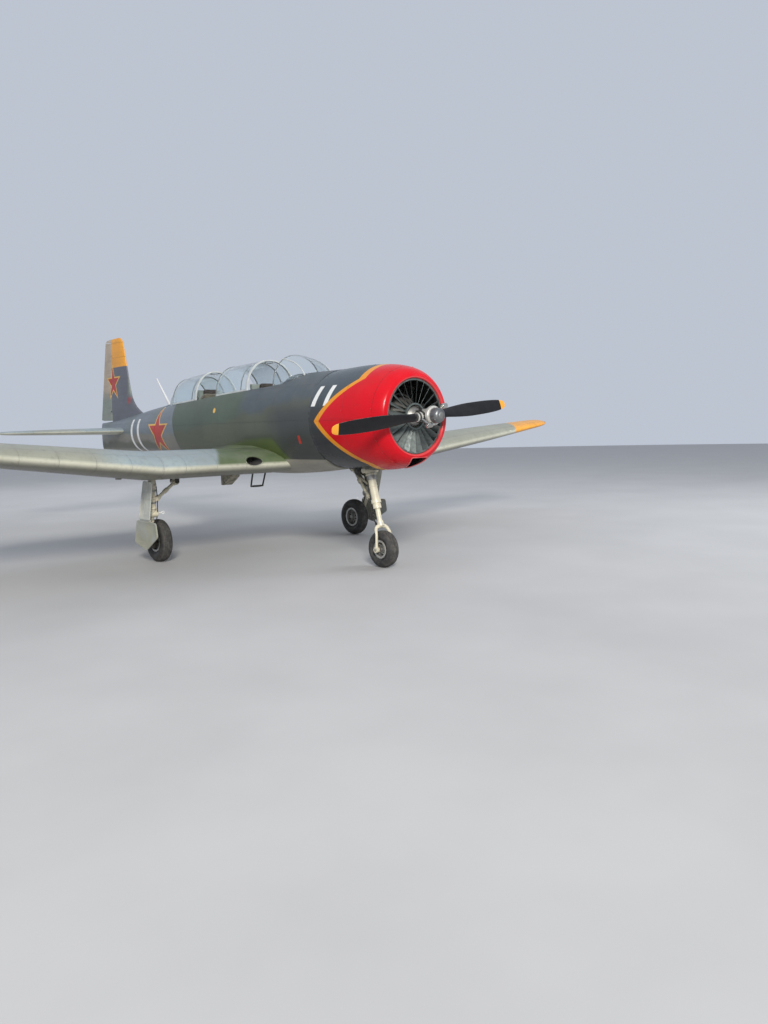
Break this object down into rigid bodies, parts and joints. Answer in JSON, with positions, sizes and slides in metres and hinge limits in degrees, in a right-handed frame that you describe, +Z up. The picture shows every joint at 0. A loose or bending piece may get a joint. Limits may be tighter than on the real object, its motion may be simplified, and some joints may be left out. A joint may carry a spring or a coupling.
{
  "type": "two-seat radial-engined trainer aircraft",
  "caption": "Low-wing tandem trainer aircraft on tricycle gear, with radial engine, propeller, sliding cockpit hoods, castoring nose wheel and hinged control surfaces.",
  "frame": {"origin": "on the ground, at the middle of the aircraft's outline seen from above", "axes": "+X to the aircraft's left along the span, +Y from nose to tail, +Z up"},
  "size_m": [10.22, 8.4249, 3.1],
  "materials": {
    "fuselage_skin": "satin camouflage paint",
    "rear_skin": "satin blue-grey paint",
    "wing_skin": "satin light grey and cream paint",
    "tail_skin": "satin grey and olive paint",
    "control_fabric": "doped fabric, satin",
    "cowl_red": "gloss red paint",
    "engine_metal": "dark, heat stained",
    "shutter_metal": "satin bare metal",
    "propeller_black": "satin black paint with yellow tips",
    "hub_steel": "brushed, slightly oily",
    "gear_cream": "satin cream paint",
    "door_paint": "satin grey-green paint",
    "gear_dark": "dark worn paint",
    "tyre_rubber": "matt black, dusty",
    "wheel_metal": "satin grey casting",
    "canopy_glass": "clear moulded glazing in thin frames",
    "seat_cloth": "dark webbing and padding",
    "cockpit_black": "matt black crackle paint",
    "exhaust_metal": "burnt steel",
    "mast_paint": "satin white paint"
  },
  "bodies": {
    "airframe": {"fuselage_front": "fuselage_skin", "fuselage_rear": "rear_skin", "wing_centre": "wing_skin", "wing_left": "wing_skin", "wing_right": "wing_skin", "tailplane_left": "tail_skin", "tailplane_right": "tail_skin", "fin": "tail_skin", "cowling": "cowl_red", "engine": "engine_metal", "cooling_shutters": "shutter_metal", "main_leg_left": "gear_cream", "main_leg_right": "gear_cream", "main_lever_left": "gear_cream", "main_lever_right": "gear_cream", "main_brace_left": "gear_cream", "main_brace_right": "gear_cream", "main_door_left": "door_paint", "main_door_right": "door_paint", "nose_leg": "gear_cream", "nose_drag_strut": "gear_dark", "windscreen": "canopy_glass", "canopy_middle": "canopy_glass", "canopy_tail": "canopy_glass", "seat_front": "seat_cloth", "seat_rear": "seat_cloth", "instrument_panel_front": "cockpit_black", "instrument_panel_rear": "cockpit_black", "stick_front": "cockpit_black", "stick_rear": "cockpit_black", "step": "gear_dark", "cooler_outlet": "exhaust_metal", "antenna_mast": "mast_paint", "exhaust": "exhaust_metal", "pitot_tube": "hub_steel"},
    "propeller": {"propeller_hub": "hub_steel", "propeller_blade_left": "propeller_black", "propeller_blade_right": "propeller_black"},
    "nose_fork": {"nose_fork": "gear_cream"},
    "nose_wheel": {"tyre_nose": "tyre_rubber", "wheel_nose": "wheel_metal"},
    "left_wheel": {"tyre_left": "tyre_rubber", "wheel_left": "wheel_metal"},
    "right_wheel": {"tyre_right": "tyre_rubber", "wheel_right": "wheel_metal"},
    "front_hood": {"hood_front": "canopy_glass"},
    "rear_hood": {"hood_rear": "canopy_glass"},
    "left_aileron": {"aileron_left": "control_fabric"},
    "right_aileron": {"aileron_right": "control_fabric"},
    "elevator": {"elevator_left": "control_fabric", "elevator_right": "control_fabric"},
    "rudder": {"rudder": "control_fabric"},
    "flap": {"flap_left": "wing_skin", "flap_right": "wing_skin"}
  },
  "joints": [
    {"name": "propeller_spin", "type": "hinge", "parent": "airframe", "child": "propeller", "pos_m": [0, -4.0075, 1.605], "axis": [0, -1, 0], "continuous": true},
    {"name": "nose_castor", "type": "hinge", "parent": "airframe", "child": "nose_fork", "pos_m": [0, -3.2071, 0.7], "axis": [0, 0.253, 0.9675], "range_deg": [-35, 35]},
    {"name": "nose_wheel_spin", "type": "hinge", "parent": "nose_fork", "child": "nose_wheel", "pos_m": [0, -3.3075, 0.2], "axis": [1, 0, 0], "continuous": true},
    {"name": "left_wheel_spin", "type": "hinge", "parent": "airframe", "child": "left_wheel", "pos_m": [1.485, -1.0075, 0.25], "axis": [1, 0, 0], "continuous": true},
    {"name": "right_wheel_spin", "type": "hinge", "parent": "airframe", "child": "right_wheel", "pos_m": [-1.485, -1.0075, 0.25], "axis": [1, 0, 0], "continuous": true},
    {"name": "front_hood_slide", "type": "slide", "parent": "airframe", "child": "front_hood", "axis": [0, -0.999, 0.045], "range_m": [0, 0.555]},
    {"name": "rear_hood_slide", "type": "slide", "parent": "airframe", "child": "rear_hood", "axis": [0, -0.999, 0.045], "range_m": [0, 0.505]},
    {"name": "aileron_left", "type": "hinge", "parent": "airframe", "child": "left_aileron", "pos_m": [2.3, -0.51618, 1.16565], "axis": [0.9745, -0.1896, 0.1204], "range_deg": [-20, 20]},
    {"name": "aileron_right", "type": "hinge", "parent": "airframe", "child": "right_aileron", "pos_m": [-2.3, -0.51618, 1.16565], "axis": [0.9745, 0.1896, -0.1204], "range_deg": [-20, 20]},
    {"name": "elevator_hinge", "type": "hinge", "parent": "airframe", "child": "elevator", "pos_m": [0, 3.4525, 1.552], "axis": [1, 0, 0], "range_deg": [-20, 30]},
    {"name": "rudder_hinge", "type": "hinge", "parent": "airframe", "child": "rudder", "pos_m": [0, 3.7255, 1.7], "axis": [0, -0.1121, 0.9937], "range_deg": [-27, 27]},
    {"name": "flap_hinge", "type": "hinge", "parent": "airframe", "child": "flap", "pos_m": [0, -0.4475, 1.03343], "axis": [-1, 0, 0], "range_deg": [0, 45]}
  ],
  "couplings": [
    {"joint": "aileron_right", "follows": "aileron_left", "ratio": -1}
  ]
}
